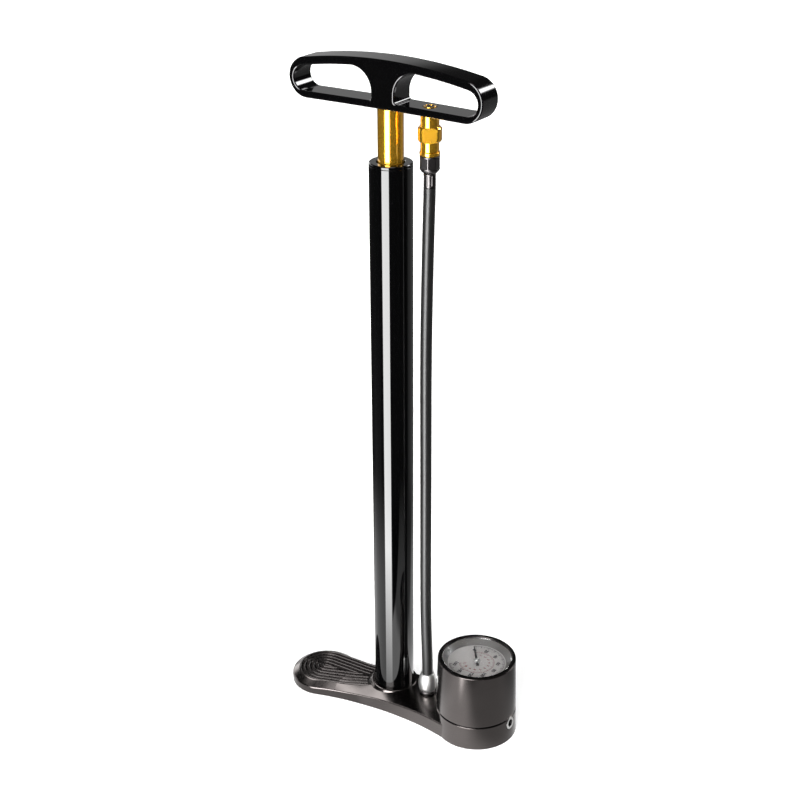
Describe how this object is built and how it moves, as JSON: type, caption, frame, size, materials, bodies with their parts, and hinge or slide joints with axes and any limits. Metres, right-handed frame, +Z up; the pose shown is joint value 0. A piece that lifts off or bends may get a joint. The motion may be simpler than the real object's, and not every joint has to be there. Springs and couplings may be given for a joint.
{
  "type": "floor bicycle pump",
  "caption": "Floor bicycle pump: slim barrel on a cast base with foot paddle and round dial gauge, sliding rod with an open arched handle, and a hose whose screw chuck docks in the handle.",
  "frame": {"origin": "on the barrel's axis, at the floor, on the flat underside of the middle foot", "axes": "+Z up along the barrel; +X towards the gauge; -X towards the foot paddle; the handle lies along X, and the paddle is offset towards -Y, the user's side"},
  "size_m": [0.2406, 0.0899, 0.6353],
  "materials": {
    "gunmetal": "gunmetal coating, satin",
    "gloss_black": "deep gloss black",
    "gold": "gold anodised, polished",
    "silver": "bright turned metal",
    "brass": "satin",
    "dark_grey": "dark grey anodised, satin",
    "rubber": "matt",
    "acetal": "off-white",
    "dial_print": "light grey face with printed marks",
    "clear": "clear",
    "spring_steel": "bright"
  },
  "bodies": {
    "pump_body": {"base": "gunmetal", "passage_plug": "silver", "foot_centre": "rubber", "foot_paddle": "rubber", "foot_gauge": "rubber", "barrel": "gloss_black", "barrel_seal": "rubber", "barrel_cap": "gloss_black", "rod_bushing": "acetal", "rod_wiper": "rubber", "check_valve_body": "brass", "check_valve_retainer": "brass", "check_valve_spring": "spring_steel", "gauge_housing": "gunmetal", "housing_screw_1": "silver", "housing_screw_2": "silver", "housing_screw_3": "silver", "bezel_ring": "dial_print", "gauge_lens": "clear", "dial_plate": "dial_print", "stem_seal": "rubber", "gauge_socket": "brass", "bourdon_tube": "brass", "movement_frame": "brass", "dial_post_1": "brass", "dial_post_2": "brass", "hose_adapter": "dark_grey", "hose_nut": "silver", "hose": "rubber", "hose_ferrule": "dark_grey", "hose_collar": "dark_grey"},
    "plunger": {"piston_rod": "gold", "rod_end_plug": "silver", "piston_head": "acetal", "piston_seal": "rubber", "piston_glide_ring": "acetal", "piston_bolt": "silver", "top_out_bumper": "rubber", "handle": "gloss_black", "handle_set_screw": "dark_grey"},
    "needle": {"needle": "dark_grey", "needle_arbor": "brass"},
    "sector": {"sector_gear": "brass"},
    "link": {"gauge_link": "brass"},
    "check_valve": {"check_valve_poppet": "rubber"},
    "chuck": {"chuck_body": "gold", "chuck_sleeve": "gold", "chuck_gasket_upper": "rubber", "chuck_gasket_lower": "rubber"}
  },
  "joints": [
    {"name": "plunger_slide", "type": "slide", "parent": "pump_body", "child": "plunger", "axis": [0, 0, 1], "range_m": [0, 0.47]},
    {"name": "sector_swing", "type": "hinge", "parent": "pump_body", "child": "sector", "pos_m": [0.0705, 0, 0.0617], "axis": [0, 0, 1], "range_deg": [0, 45]},
    {"name": "needle_sweep", "type": "hinge", "parent": "pump_body", "child": "needle", "pos_m": [0.095, 0, 0.0735], "axis": [0, 0, -1], "range_deg": [0, 270]},
    {"name": "link_pivot", "type": "hinge", "parent": "sector", "child": "link", "pos_m": [0.06588, 0.00191, 0.0612], "axis": [0, 0, -1], "range_deg": [0, 45]},
    {"name": "check_valve_lift", "type": "slide", "parent": "pump_body", "child": "check_valve", "axis": [0, 0, -1], "range_m": [0, 0.0015], "stiffness_N_per_m": 200, "springref_m": -0.001, "deforming": ["check_valve_spring"]},
    {"name": "chuck_turn", "type": "hinge", "parent": "pump_body", "child": "chuck", "pos_m": [0.0392, 0, 0.575], "axis": [0, 0, 1], "continuous": true}
  ],
  "couplings": [
    {"joint": "needle_sweep", "follows": "sector_swing", "ratio": 6},
    {"joint": "link_pivot", "follows": "sector_swing", "ratio": 1}
  ]
}
